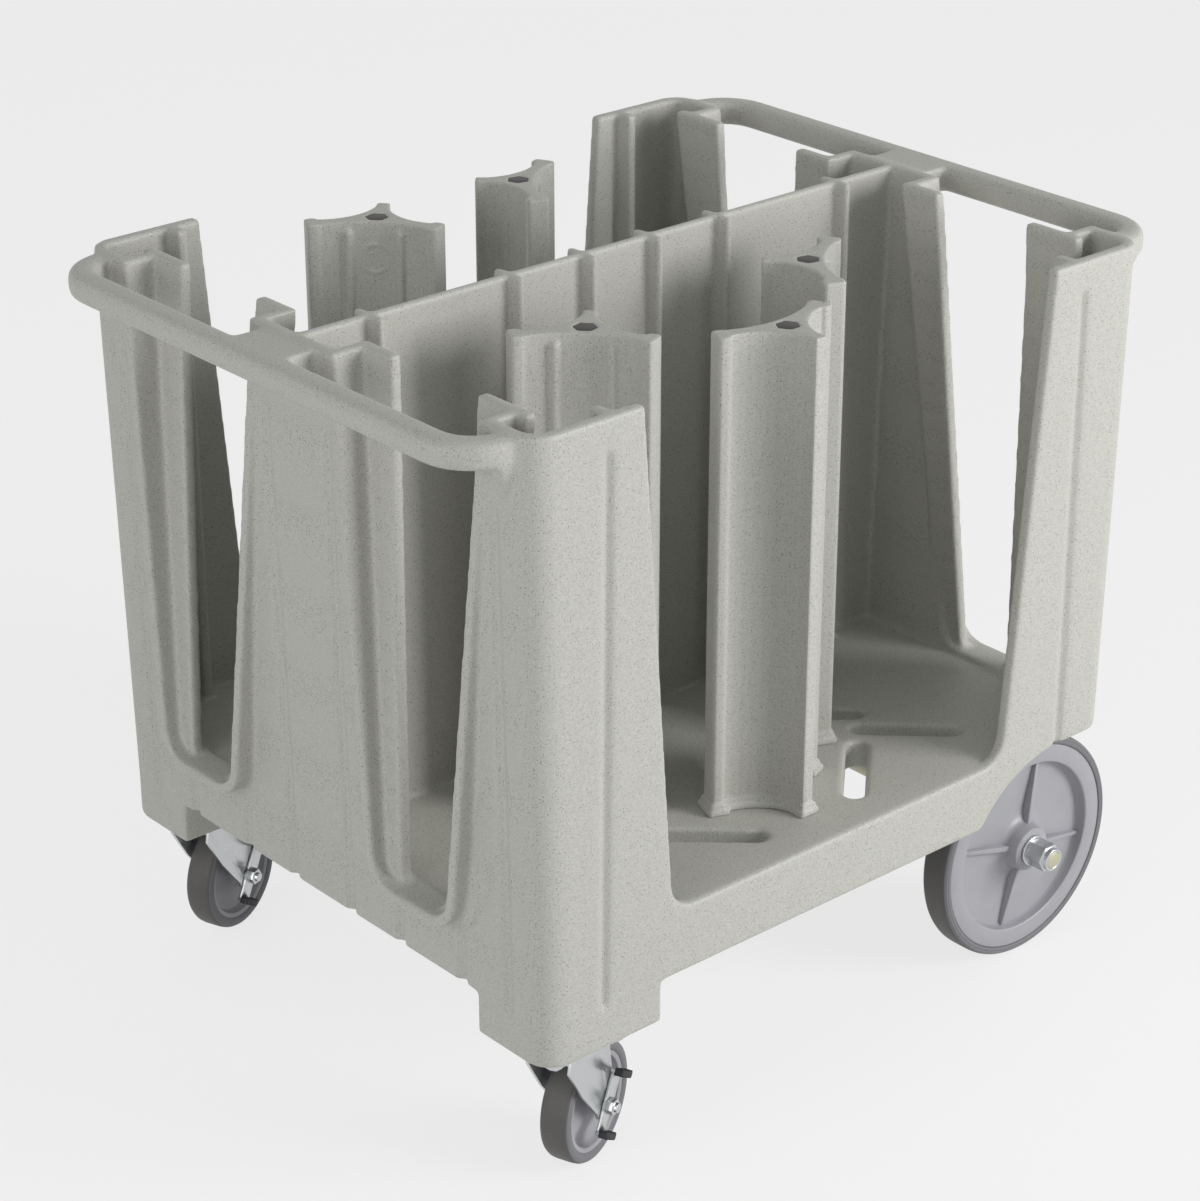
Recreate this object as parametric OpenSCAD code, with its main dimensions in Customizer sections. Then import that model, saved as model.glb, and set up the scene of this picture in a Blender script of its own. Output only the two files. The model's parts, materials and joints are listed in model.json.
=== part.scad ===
// Plate dispenser cart: a moulded open box on two large wheels and two braked swivel casters.
// Five column towers stand in diagonal slots of the deck, each clamped from below by a long rod.
// X runs along the cart towards the large wheels, Y across it and Z up from the floor.

/* [Body] */
// Length over the two end walls at the rim
body_l = 800; // [780:1:820]
// Width over the two side walls at the rim
body_w = 690; // [676:1:702]
// Height of the rim above the floor
rim_z = 802; // [780:1:830]
// Height of the lower edge of the skirt
skirt_z = 205; // [200:1:210]
// How far an end wall leans in from the rim to the skirt
end_draft = 12; // [8:1:16]
// How far a side wall leans in from the rim to the skirt
side_draft = 0; // [0:1:6]
// Thickness of the moulded walls
wall = 14; // [11:1:16]
// Radius of the upright corners
corner_r = 28; // [24:1:34]
// Height of the deck's top face
deck_z = 277; // [274:1:284]
// Thickness of the deck
deck_t = 33; // [26:1:34]
// Half length of a side opening at the rim
side_open_top = 268; // [260:1:274]
// Half length of a side opening at the deck
side_open_low = 228; // [220:1:236]
// Radius of the lower corners of a side opening
side_open_r = 28; // [20:1:34]
// Width of the shallow grooves pressed into the walls
groove_w = 12; // [8:1:14]
// Depth of those grooves
groove_d = 5; // [3:0.5:5.5]

/* [End cut-outs] */
// Distance from the middle to a cut-out's inner edge at the rim
cut_in_top = 65; // [60:1:70]
// The same distance at the floor of the cut-out
cut_in_low = 120; // [116:1:124]
// Distance from the middle to a cut-out's outer edge at the rim
cut_out_top = 272; // [266:1:276]
// The same distance at the floor of the cut-out
cut_out_low = 227; // [222:1:232]
// Height of the floor of a cut-out
cut_floor_z = 283; // [280:1:286]
// Radius of the lower corners of a cut-out
cut_r = 28; // [22:1:34]
// How far the raised rim of a cut-out stands proud at its floor
cuff_out = 25; // [16:1:28]
// Thickness of that raised rim
cuff_t = 12; // [8:1:14]
// Depth from the raised rim back to the flange, at the top
flange_in_top = 36; // [32:1:40]
// Depth from the raised rim back to the flange, at the floor
flange_in_low = 18; // [16:1:22]
// Distance from the middle to the through opening's inner edge at the rim
open_in_top = 105; // [100:1:110]
// The same distance at the deck
open_in_low = 142; // [138:1:146]
// Distance from the middle to the through opening's outer edge at the rim
open_out_top = 230; // [226:1:236]
// The same distance at the deck
open_out_low = 206; // [202:1:210]

/* [Centre wall] */
// Thickness of the wall between the two rows
centre_t = 10; // [8:1:14]
// Reach of its cross ribs to each side
rib_reach = 21; // [16:1:26]
// Thickness of a cross rib
rib_t = 10; // [8:1:12]
// Distances of the cross ribs from the middle
rib_x = [43.4, 137.4, 307.4];

/* [Handles] */
// Reach of a handle bar beyond the rim of the end wall
handle_out = 58; // [52:1:66]
// Width of a handle bar
handle_w = 29; // [25:1:32]
// Height of a handle bar
handle_h = 28; // [24:1:32]
// Outer radius of the handle bends
handle_r = 60; // [54:1:66]
// Radius of the long edges of a handle bar
handle_edge = 9; // [6:1:12]
// Half the width of the middle pad
pad_w = 40; // [34:1:46]

/* [Wheels] */
// Radius of a large wheel
wheel_r = 127; // [124:1:129]
// Width of a large wheel's tyre
wheel_w = 34; // [32:1:38]
// Distance from the rim of the end wall back to the wheel axle
wheel_back = 80; // [76:1:84]
// Distance from the rim of the side wall in to a wheel's middle plane
wheel_in = 55; // [53:1:58]
// Radius of the axle
axle_r = 9.5; // [8:0.5:10]
// Radius of a caster wheel
caster_r = 63.5; // [60:0.5:65]
// Width of a caster tyre
caster_w = 32; // [28:1:34]
// Trail of a caster behind its kingpin
caster_trail = 38; // [34:1:42]
// Height of a caster's mounting plate
caster_z = 160; // [158:1:166]
// Distance from the rim of the end wall back to a kingpin
kingpin_back = 75; // [73:1:77]
// Distance from the rim of the side wall in to a kingpin
kingpin_in = 48; // [47:1:51]
// Angle that the casters are turned to
caster_turn = 20; // [-90:1:90]

/* [Towers] */
// Height of the tower tops above the floor
tower_top_z = 784; // [740:1:800]
// Distance from a tower's rod to the end of a long arm
arm_long = 75; // [70:1:78]
// Distance from a tower's rod to the end of its short arm
arm_short = 46; // [42:1:50]
// Thickness of the short arm
arm_t = 14; // [12:1:16]
// Width of the deck slots
slot_w = 22; // [20:1:24]
// Radius of a clamp rod
rod_r = 7; // [6:0.5:8]
// How far the foot spreads around a tower
foot_flare = 5; // [4:1:8]
// Distance of a rod from the end of its slot, for the towers in the inner slots
inner_stand = 64; // [12:1:124]
// The same for the tower in the middle slot
middle_stand = 16; // [12:1:114]
// The same for the towers in the outer slots
outer_stand = 48; // [12:1:110]

/* [Hidden] */

// Gap between pieces that move past each other
gap = 0.3;
// Radial clearance of a shaft in its bearing
run = 0.05;
// Radial clearance of a bolt in a plain hole
loose = 0.2;
// Overshoot of a cutting shape beyond what it cuts
over = 1;
fine = 48;
moulded = "#B9B6AA";
zinc = "#B8BCC0";
grey_tyre = "#77777A";
grey_disc = "#8D8C92";

// Height above the skirt as a share of the drafted height, 0 at the skirt and 1 at the rim
function rise(z) = (z - skirt_z) / (rim_z - skirt_z);
// Outer faces of the end and side walls at a height
function end_x(z) = body_l / 2 - end_draft * (1 - rise(z));
function side_y(z) = body_w / 2 - side_draft * (1 - rise(z));
// Points of an arc around a centre
function arc(c, r, from, to, steps = 6) =
    [for (i = [0:steps]) let (a = from + (to - from) * i / steps) c + r * [cos(a), sin(a)]];

deck_x = end_x(skirt_z) - wall;
deck_y = side_y(skirt_z) - wall;
deck_low = deck_z - deck_t;
handle_x = body_l / 2 + handle_out;
wheel_x = body_l / 2 - wheel_back;
wheel_y = body_w / 2 - wheel_in;
kingpin_x = body_l / 2 - kingpin_back;
kingpin_y = body_w / 2 - kingpin_in;
// The wheel wells
well_r = wheel_r + 13;
well_y = wheel_y - wheel_w / 2 - 14;
cut_middle = (open_in_low + open_out_low) / 2;

// Shapes used by several pieces

module along_x(x0, x1) {
    translate([x0, 0, 0]) rotate([90, 0, 90]) linear_extrude(x1 - x0) children();
}

module along_y(y0, y1) {
    translate([0, y1, 0]) rotate([90, 0, 0]) linear_extrude(y1 - y0) children();
}

module block(low, high) {
    translate(low) cube(high - low);
}

module both_x() {
    children();
    mirror([1, 0, 0]) children();
}

module both_y() {
    children();
    mirror([0, 1, 0]) children();
}

module rounded_rect(half, r) {
    polygon([
        each arc([half.x - r, half.y - r], r, 0, 90),
        each arc([r - half.x, half.y - r], r, 90, 180),
        each arc([r - half.x, r - half.y], r, 180, 270),
        each arc([half.x - r, r - half.y], r, 270, 360)
    ]);
}

// A round bar from one point to another, with a ball at its first end
module round_bar(from, to, r) {
    span = to - from;
    length = norm(span);
    translate(from) rotate([0, acos(span.z / length), atan2(span.y, span.x)]) {
        cylinder(h = length, r = r, $fn = fine);
        sphere(r = r, $fn = fine);
    }
}

// The drafted outside of the body, moved in by a wall thickness where asked
module envelope(inset = 0) {
    low = [end_x(skirt_z) - inset, side_y(skirt_z) - inset];
    high = [body_l / 2 - inset, body_w / 2 - inset];
    translate([0, 0, skirt_z])
        linear_extrude(rim_z - skirt_z, scale = [high.x / low.x, high.y / low.y], slices = 1)
            rounded_rect(low, corner_r - inset);
}

// A cut-out seen along X: straight leaning edges and a floor with round corners
module cut_shape(in_top, in_low, out_top, out_low, floor_z, r, grow = 0, top = rim_z) {
    centre_z = floor_z + r;
    function lean(a, b, z) = a + (b - a) * (rim_z - z) / (rim_z - floor_z);
    polygon([
        [lean(in_top, in_low, top) - grow, top],
        each arc([lean(in_top, in_low, centre_z) + r, centre_z], r + grow, 180, 270),
        each arc([lean(out_top, out_low, centre_z) - r, centre_z], r + grow, 270, 360),
        [lean(out_top, out_low, top) + grow, top]
    ]);
}

module recess_shape(grow = 0, top = rim_z) {
    cut_shape(cut_in_top, cut_in_low, cut_out_top, cut_out_low, cut_floor_z, cut_r, grow, top);
}

module open_shape(top = rim_z) {
    cut_shape(open_in_top, open_in_low, open_out_top, open_out_low, deck_z - 2, cut_r - 4, 0, top);
}

// Leaning sheet of the end wall between two depths behind the raised rim, seen along Y
module end_sheet(back_top, back_low, front_top, front_low) {
    below = 40;
    span = rim_z - cut_floor_z;
    top_x = end_x(rim_z);
    low_x = end_x(cut_floor_z) + cuff_out;
    function down(a, b) = b + (b - a) * below / span;
    along_y(-body_w / 2, body_w / 2) polygon([
        [down(top_x - back_top, low_x - back_low), cut_floor_z - below],
        [down(top_x - front_top, low_x - front_low), cut_floor_z - below],
        [top_x - front_top, rim_z],
        [top_x - back_top, rim_z]
    ]);
}

// Shallow grooves down the outside of the walls

module wall_groove(from, to, out) {
    sink = (groove_w * groove_w / 4 - groove_d * groove_d) / (2 * groove_d);
    round_bar(from + sink * out, to + sink * out, sink + groove_d);
}

module end_grooves() {
    low = skirt_z - 2 * over;
    middle_top = rim_z - 87;
    outer_top = rim_z - 82;
    outer_y = body_w / 2 - 55;
    both_y() {
        wall_groove([end_x(middle_top), 48, middle_top], [end_x(low), 47, low], [1, 0, 0]);
        wall_groove([end_x(outer_top), outer_y, outer_top], [end_x(low), outer_y, low], [1, 0, 0]);
        for (y = [126, 221])
            wall_groove([end_x(cut_floor_z - 20), y, cut_floor_z - 20], [end_x(low), y, low], [1, 0, 0]);
    }
}

module side_grooves() {
    low = skirt_z - 2 * over;
    top = rim_z - 37;
    groove_x = body_l / 2 - 89;
    lean = 5;
    both_y() wall_groove([groove_x, side_y(top), top], [groove_x + lean, side_y(low), low], [0, 1, 0]);
}

// Body: the moulding, split where its open shape needs it

module side_opening() {
    centre_z = deck_z + side_open_r;
    function edge(z) = side_open_top + (side_open_low - side_open_top) * (rim_z - z) / (rim_z - deck_z);
    along_y(-body_w, body_w) polygon([
        [-edge(rim_z + over), rim_z + over],
        each arc([side_open_r - edge(centre_z), centre_z], side_open_r, 180, 270),
        each arc([edge(centre_z) - side_open_r, centre_z], side_open_r, 270, 360),
        [edge(rim_z + over), rim_z + over]
    ]);
}

// The walls above the deck at the end that X points to
module upper_end() {
    inner_x = side_open_low - 2 * side_open_r;
    difference() {
        union() {
            difference() {
                envelope();
                translate([0, 0, -over]) envelope(wall);
                translate([0, 0, over]) envelope(wall);
                both_y() along_x(inner_x, body_l) recess_shape(0, rim_z + over);
            }
            intersection() {
                end_sheet(flange_in_top + wall, flange_in_low + wall, 0, 0);
                both_y() along_x(inner_x, body_l) difference() {
                    recess_shape(cuff_t);
                    recess_shape(0, rim_z + over);
                }
            }
            intersection() {
                end_sheet(flange_in_top + wall, flange_in_low + wall, flange_in_top, flange_in_low);
                both_y() along_x(inner_x, body_l) difference() {
                    recess_shape(0, rim_z + over);
                    open_shape(rim_z + over);
                }
            }
            flange_spurs();
            lip_ribs();
        }
        side_opening();
        end_grooves();
        side_grooves();
    }
}

// Short tails of the flanges beyond the raised rims
module flange_spurs() {
    spur = 12;
    intersection() {
        end_sheet(flange_in_top + wall, flange_in_low + wall, flange_in_top, flange_in_low);
        both_y() along_x(side_open_low, body_l) intersection() {
            recess_shape(cuff_t + spur);
            translate([cut_out_low, deck_z]) square([body_w, rim_z]);
        }
    }
}

// Upright ribs inside the side walls, behind their grooves
module lip_ribs() {
    rib = 12;
    rib_mid = body_l / 2 - 98;
    intersection() {
        envelope(groove_d + over);
        both_y() block([rib_mid - rib / 2, body_w / 2 - 33, skirt_z], [rib_mid + rib / 2, body_w, rim_z]);
    }
}

module corner_post() {
    color(moulded) intersection() {
        upper_end();
        block([0, cut_middle, deck_z], [body_l, body_w, rim_z]);
    }
}

module end_post() {
    color(moulded) intersection() {
        upper_end();
        block([0, -cut_middle, deck_z], [body_l, cut_middle, rim_z]);
    }
}

module wheel_wells() {
    both_y() {
        translate([wheel_x, well_y, wheel_r]) rotate([-90, 0, 0])
            cylinder(h = body_w, r = well_r, $fn = 96);
        block([wheel_x, well_y, 0], [body_l, body_w, wheel_r + well_r]);
    }
}

// The ring of walls below the deck's top face, with the wheel wells at one end only
module lower_ring() {
    difference() {
        intersection() {
            envelope();
            block([-body_l, -body_w, 0], [body_l, body_w, deck_z]);
        }
        block([-deck_x, -deck_y, 0], [deck_x, deck_y, rim_z]);
        wheel_wells();
        both_x() lower_end_cut();
        both_x() end_grooves();
        side_grooves();
        mirror([1, 0, 0]) side_grooves();
    }
}

// What the cut-outs take from the wall in front of their flanges
module lower_end_cut() {
    intersection() {
        end_sheet(flange_in_top, flange_in_low, -body_l, -body_l);
        both_y() along_x(deck_x, body_l) recess_shape(0, rim_z);
    }
}

module cuff_sill() {
    intersection() {
        end_sheet(flange_in_top + wall, flange_in_low + wall, 0, 0);
        both_y() along_x(deck_x, body_l) difference() {
            recess_shape(cuff_t);
            recess_shape(0, rim_z + over);
        }
        block([deck_x, -deck_y, 0], [body_l, deck_y, deck_z]);
    }
}

module end_skirt() {
    color(moulded) {
        intersection() {
            lower_ring();
            block([deck_x, -deck_y, 0], [body_l, deck_y, deck_z]);
        }
        cuff_sill();
    }
}

module caster_end_skirt() {
    color(moulded) {
        intersection() {
            lower_ring();
            block([-body_l, -deck_y, 0], [-deck_x, deck_y, deck_z]);
        }
        mirror([1, 0, 0]) cuff_sill();
    }
}

module far_skirt() {
    color(moulded) intersection() {
        lower_ring();
        block([-body_l, deck_y, 0], [body_l, body_w, deck_z]);
    }
}

// Deck slots from end to end, in the quarter where X and Y are positive, as shares of the body's
// length and width
function on_deck(shares) = [for (s = shares) [s.x * body_l, s.y * body_w]];
outer_slot = on_deck([[0.075, 0.4304], [0.1875, 0.3087]]);
spare_slot = on_deck([[0.2062, 0.2710], [0.3125, 0.3884]]);
inner_slot = on_deck([[0.125, 0.1160], [0.25, 0.2507]]);
middle_slot = on_deck([[0, 0.3797], [0, 0.1957]]);

module slot_cut(ends) {
    span = ends[1] - ends[0];
    half = slot_w / 2;
    height = deck_t + 2 * over;
    translate([ends[0].x, ends[0].y, deck_low - over]) rotate([0, 0, atan2(span.y, span.x)]) {
        for (x = [half, norm(span) - half]) translate([x, 0, 0]) cylinder(h = height, r = half, $fn = fine);
        translate([half, -half, 0]) cube([norm(span) - slot_w, slot_w, height]);
    }
}

module deck() {
    color(moulded) difference() {
        block([-deck_x, -deck_y, deck_low], [deck_x, deck_y, deck_z]);
        wheel_wells();
        both_y() {
            both_x() for (ends = [outer_slot, spare_slot, inner_slot]) slot_cut(ends);
            slot_cut(middle_slot);
        }
    }
}

module centre_wall() {
    color(moulded) intersection() {
        envelope(wall);
        union() {
            block([-body_l, -centre_t / 2, deck_z], [body_l, centre_t / 2, rim_z]);
            both_x() for (x = rib_x)
                translate([x, 0, deck_z]) linear_extrude(rim_z - deck_z)
                    rounded_rect([rib_t / 2, rib_reach], rib_t / 2 - 0.1);
        }
    }
}

module handle_section() {
    rounded_rect([handle_w / 2, handle_h / 2], handle_edge);
}

module handle() {
    top = rim_z - 2;
    low = top - handle_h;
    bar_z = top - handle_h / 2;
    bar_x = handle_x - handle_w / 2;
    bend_x = handle_x - handle_r;
    bend_y = body_w / 2 - 80;
    turn_r = handle_r - handle_w / 2;
    back_x = body_l / 2 - 22;
    brace = 29;
    color(moulded) difference() {
        union() {
            translate([bar_x, bend_y, bar_z]) rotate([90, 0, 0]) linear_extrude(2 * bend_y) handle_section();
            both_y() {
                translate([bend_x, bend_y, bar_z])
                    rotate_extrude(angle = 90, $fn = 72) translate([turn_r, 0]) handle_section();
                along_x(back_x, bend_x) translate([bend_y + turn_r, bar_z]) handle_section();
                handle_gusset(bend_x + 18, bend_y + turn_r, low);
            }
            block([back_x, -pad_w, low], [bar_x, pad_w, top]);
            along_y(8 - pad_w, pad_w - 8) polygon([
                [back_x, low - brace], [handle_x - 12, low], [handle_x - 12, low + over], [back_x, low + over]
            ]);
        }
        envelope();
    }
}

// The V-shaped gusset that carries a handle's end from below, down to a point on the wall
module handle_gusset(reach_x, y, z) {
    drop = 37;
    half = 13;
    sink = 4;
    intersection() {
        along_x(0, reach_x) polygon([[y - half, z + sink], [y, z - drop], [y + half, z + sink]]);
        along_y(0, body_w) polygon([
            [0, z - drop - over], [body_l / 2, z - drop - over], [body_l / 2, z - drop],
            [reach_x, z + sink], [0, z + sink]
        ]);
    }
}

// The block under a corner that carries a caster, flush with the walls above it
module foot() {
    inner = [kingpin_x - 82, kingpin_y - 54];
    color(moulded) difference() {
        union() {
            intersection() {
                translate([0, 0, caster_z]) linear_extrude(skirt_z - caster_z)
                    rounded_rect([end_x(skirt_z), side_y(skirt_z)], corner_r);
                block([inner.x, inner.y, caster_z], [body_l, body_w, skirt_z]);
            }
            block([inner.x, inner.y, skirt_z], [deck_x, deck_y, deck_low]);
        }
        translate([kingpin_x, kingpin_y, caster_z - over]) {
            cylinder(h = 12, r = 14, $fn = fine);
            plate_holes() cylinder(h = 26, r = bolt_r + loose, $fn = 24);
        }
    }
}

module axle_boss() {
    half = 34;
    color(moulded) difference() {
        block([wheel_x - half, well_y - 40, wheel_r - 30], [wheel_x + half, well_y, deck_low]);
        translate([wheel_x, 0, wheel_r]) rotate([-90, 0, 0])
            cylinder(h = body_w, r = axle_r + run, $fn = fine);
    }
}

// Axle and large wheels

washer_t = 3;
washer_r = 17;
hub_in = well_y + washer_t + gap;
hub_out = wheel_y + wheel_w / 2 + 8;
nut_hex_t = 22;
nut_t = 28;
nut_in = hub_out + gap + washer_t;
nut_out = nut_in + nut_t;
bush_r = axle_r + 3.5;
disc_r = wheel_r - 10;

module on_axle(y) {
    translate([wheel_x, y, wheel_r]) rotate([-90, 0, 0]) children();
}

module axle() {
    color(zinc) on_axle(-nut_out) cylinder(h = 2 * nut_out, r = axle_r, $fn = fine);
}

module ring(h, inner, outer) {
    difference() {
        cylinder(h = h, r = outer, $fn = fine);
        translate([0, 0, -over]) cylinder(h = h + 2 * over, r = inner, $fn = fine);
    }
}

module axle_washers() {
    color(zinc) both_y() {
        for (y = [well_y, hub_out + gap]) on_axle(y) ring(washer_t, axle_r + run, washer_r);
    }
}

module axle_nuts() {
    color(zinc) both_y() on_axle(nut_in) difference() {
        union() {
            cylinder(h = nut_hex_t, r = 16, $fn = 6);
            cylinder(h = nut_t, r = 12.5, $fn = fine);
        }
        translate([0, 0, -over]) cylinder(h = nut_t + 2 * over, r = axle_r + run, $fn = fine);
    }
}

module wheel_tyre() {
    half = wheel_w / 2;
    color(grey_tyre) on_axle(wheel_y) rotate_extrude($fn = 96) polygon([
        [disc_r, 1 - half], [disc_r + 2, -half], [wheel_r - 4, -half],
        [wheel_r - 1, 3 - half], [wheel_r, 8 - half],
        [wheel_r, half - 8], [wheel_r - 1, half - 3],
        [wheel_r - 4, half], [disc_r + 2, half], [disc_r, half - 1]
    ]);
}

// A disc with a flat flange under the tyre, a recessed web and a hub that flares into it
module wheel_disc() {
    flange = wheel_w / 2 - 1;
    flange_r = disc_r - 20;
    web = 3.5;
    barrel_r = 25;
    flare_r = 46;
    color(grey_disc) on_axle(wheel_y) {
        rotate_extrude($fn = 96) polygon([
            [bush_r, hub_in - wheel_y], [barrel_r, hub_in - wheel_y], [barrel_r + 2, 12 - flange],
            [flare_r, -web], [flange_r - 2, -web], [flange_r, -flange], [disc_r, -flange],
            [disc_r, flange], [flange_r, flange], [flange_r - 2, web], [flare_r, web],
            [barrel_r + 2, flange - 5], [barrel_r, hub_out - wheel_y], [bush_r, hub_out - wheel_y]
        ]);
        for (spoke = [0:3]) rotate([0, 0, 12.6 + 90 * spoke])
            translate([0, 3, 0]) rotate([90, 0, 0]) linear_extrude(6) polygon([
                [barrel_r - 8, 2 - flange], [flange_r + 4, -web - 3], [flange_r + 4, web + 3],
                [barrel_r - 8, flange - 1]
            ]);
    }
}

module wheel_bush() {
    color(zinc) on_axle(hub_in) ring(hub_out - hub_in, axle_r + run, bush_r);
}

// Casters, drawn with the kingpin on the Z axis and the wheel trailing along X

bolt_r = 4;
plate_t = 3.5;
race_t = 5.5;
crown_t = 6;
crown_top = caster_z - plate_t - race_t - gap;
crown_low = crown_top - crown_t;
leg_in = caster_w / 2 + 5;
leg_t = 3.5;
king_r = 6;
caster_axle_r = 5;
caster_hub_r = caster_r - 12;

module plate_holes() {
    for (x = [-38, 38], y = [-30, 30]) translate([x, y, 0]) children();
}

module at_kingpin() {
    translate([kingpin_x, kingpin_y, 0]) children();
}

module caster_place(side) {
    translate([-kingpin_x, side * kingpin_y, 0]) rotate([0, 0, caster_turn]) children();
}

module on_caster_axle(y) {
    translate([caster_trail, y, caster_r]) rotate([-90, 0, 0]) children();
}

module caster_plate() {
    color(zinc) difference() {
        union() {
            translate([0, 0, caster_z - plate_t]) linear_extrude(plate_t) rounded_rect([50, 41], 8);
            translate([0, 0, caster_z - plate_t - race_t]) cylinder(h = race_t, r = 30, $fn = fine);
        }
        translate([0, 0, caster_z - 20]) {
            cylinder(h = 30, r = king_r + run, $fn = fine);
            plate_holes() cylinder(h = 30, r = bolt_r + loose, $fn = 24);
        }
    }
}

module plate_bolts() {
    color(zinc) mirror([1, 0, 0]) both_y() at_kingpin() translate([0, 0, caster_z - plate_t]) plate_holes() {
        cylinder(h = 24, r = bolt_r, $fn = 24);
        translate([0, 0, -5]) cylinder(h = 5, r = 7.5, $fn = 6);
    }
}

module fork_leg() {
    along_y(leg_in, leg_in + leg_t) polygon([
        [-30, crown_top], [-33, crown_low - 8], [-8, caster_r + 34],
        each arc([caster_trail, caster_r], 17, 190, 370, 10),
        [caster_trail + 6, crown_low - 6], [34, crown_top]
    ]);
}

module caster_fork() {
    color(zinc) difference() {
        union() {
            translate([0, 0, crown_low]) cylinder(h = crown_t, r = 33, $fn = fine);
            block([-30, -leg_in - over, crown_low], [34, leg_in + over, crown_top]);
            both_y() fork_leg();
        }
        translate([0, 0, crown_low - over]) cylinder(h = 20, r = king_r + run, $fn = fine);
        on_caster_axle(-50) cylinder(h = 100, r = caster_axle_r + run, $fn = fine);
    }
}

module kingpin() {
    color(zinc) {
        translate([0, 0, crown_low - 6]) cylinder(h = caster_z + 6.5 - crown_low, r = king_r, $fn = fine);
        translate([0, 0, crown_low - 7]) cylinder(h = 7, r = 10, $fn = 6);
        translate([0, 0, caster_z + gap]) cylinder(h = 5, r = 10, $fn = fine);
    }
}

module caster_bolt() {
    reach = leg_in + leg_t;
    color(zinc) {
        on_caster_axle(-reach - 14) cylinder(h = 2 * reach + 24, r = caster_axle_r, $fn = fine);
        on_caster_axle(reach) cylinder(h = 6, r = 9, $fn = 6);
        on_caster_axle(-reach - brake_t - 2 * gap - 7) cylinder(h = 7, r = 9, $fn = 6);
    }
}

module caster_tyre() {
    half = caster_w / 2;
    color(grey_tyre) on_caster_axle(0) rotate_extrude($fn = 72) polygon([
        [caster_hub_r, 2 - half], [caster_r - 5, -half], [caster_r - 1, 3 - half],
        [caster_r, 9 - half], [caster_r, half - 9],
        [caster_r - 1, half - 3], [caster_r - 5, half], [caster_hub_r, half - 2]
    ]);
}

module caster_hub() {
    half = caster_w / 2;
    tip = leg_in - gap;
    bore = caster_axle_r + run;
    color(grey_disc) on_caster_axle(0) rotate_extrude($fn = 72) polygon([
        [bore, -tip], [9, -tip], [14, -half + 6], [caster_hub_r - 6, -half + 10],
        [caster_hub_r - 4, -half + 2], [caster_hub_r, -half + 2],
        [caster_hub_r, half - 2], [caster_hub_r - 4, half - 2],
        [caster_hub_r - 6, half - 10], [14, half - 6], [9, tip], [bore, tip]
    ]);
}

brake_t = 3;
brake_up = 38;
brake_down = 32;
brake_lean = 58;

module brake() {
    reach = leg_in + leg_t + gap;
    tab = 14;
    color(zinc) difference() {
        translate([caster_trail, -reach, caster_r]) rotate([90, -brake_lean, 0]) {
            translate([brake_up - brake_down, 0] / 2)
                linear_extrude(brake_t) rounded_rect([(brake_up + brake_down) / 2, 9], 5);
            for (x = [4 - brake_down, brake_up - 4]) translate([x, 0, 0])
                linear_extrude(tab) rounded_rect([4, 12], 3);
        }
        on_caster_axle(-60) cylinder(h = 100, r = caster_axle_r + run, $fn = fine);
    }
}

// Towers: a three-armed column with a long clamp rod down its middle

arc_sag = 17;
arc_half = 60;
top_arc_r = (arc_half * arc_half + arc_sag * arc_sag) / (2 * arc_sag);
hex_to_top = 17;
low_arc_r = 62;
low_arc_c = [67.6, -47.3];
arm_angle = 20;
tower_low = deck_z + gap;
head_r = 12;
head_low = tower_top_z - 32;

// Outline of a tower with its short arm towards -Y, grown outwards where asked
module tower_outline(grow = 0) {
    centre = [0, hex_to_top + top_arc_r];
    spread = asin(arc_half / (top_arc_r - grow));
    side = arm_t / 2 + grow;
    low_r = low_arc_r - grow;
    right = arc(low_arc_c, low_r, 95, acos((side - low_arc_c.x) / low_r), 8);
    polygon([
        each arc(centre, top_arc_r - grow, 270 - spread, 270 + spread, 12),
        each right,
        [side, -arm_short - grow],
        [-side, -arm_short - grow],
        each [for (i = [len(right) - 1:-1:0]) [-right[i].x, right[i].y]]
    ]);
    for (m = [0, 1]) mirror([m, 0]) rotate(arm_angle)
        translate([arm_long - 7, 0]) rounded_rect([7 + grow, 12 + grow], 4);
}

module tower_column() {
    foot_t = 6;
    rib_r = 5;
    rib_top = tower_top_z - 8 - rib_r;
    color(moulded) difference() {
        union() {
            translate([0, 0, tower_low]) {
                linear_extrude(tower_top_z - tower_low) tower_outline();
                linear_extrude(foot_t) tower_outline(foot_flare);
                linear_extrude(2 * foot_t) tower_outline(foot_flare / 2);
            }
            for (x = [-27, 27]) translate([x, hex_to_top + 3.5, tower_low]) {
                cylinder(h = rib_top - tower_low, r = rib_r, $fn = fine);
                translate([0, 0, rib_top - tower_low]) sphere(r = rib_r, $fn = fine);
            }
            translate([0, hex_to_top - 4, tower_top_z - 40]) rotate([-90, 0, 0]) ring(5.3, 14.4, 16);
        }
        translate([0, 0, tower_low - over]) cylinder(h = tower_top_z, r = rod_r + gap, $fn = fine);
        translate([0, 0, head_low]) cylinder(h = tower_top_z - 6 - head_low, r = head_r, $fn = fine);
        translate([0, 0, head_low]) cylinder(h = tower_top_z, r = head_r, $fn = 6);
    }
}

clamp_t = 10;
clamp_top = deck_low - gap;

module clamp_rod() {
    low = clamp_top - clamp_t - 12;
    color(zinc) {
        translate([0, 0, low]) cylinder(h = head_low + gap - low, r = rod_r, $fn = fine);
        translate([0, 0, head_low + gap]) cylinder(h = 12, r = head_r - 2, $fn = 6);
    }
}

// The plate under the deck, with a tongue that keeps it square in the slot
module clamp_plate() {
    tongue = slot_w / 2 - gap;
    color(zinc) difference() {
        union() {
            translate([0, 0, clamp_top - clamp_t]) linear_extrude(clamp_t) rounded_rect([30, 22], 4);
            translate([0, 0, clamp_top - over])
                linear_extrude(18) rounded_rect([tongue, tongue + 2.3], tongue);
        }
        translate([0, 0, clamp_top - 30]) cylinder(h = 60, r = rod_r + run, $fn = fine);
    }
}

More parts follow.
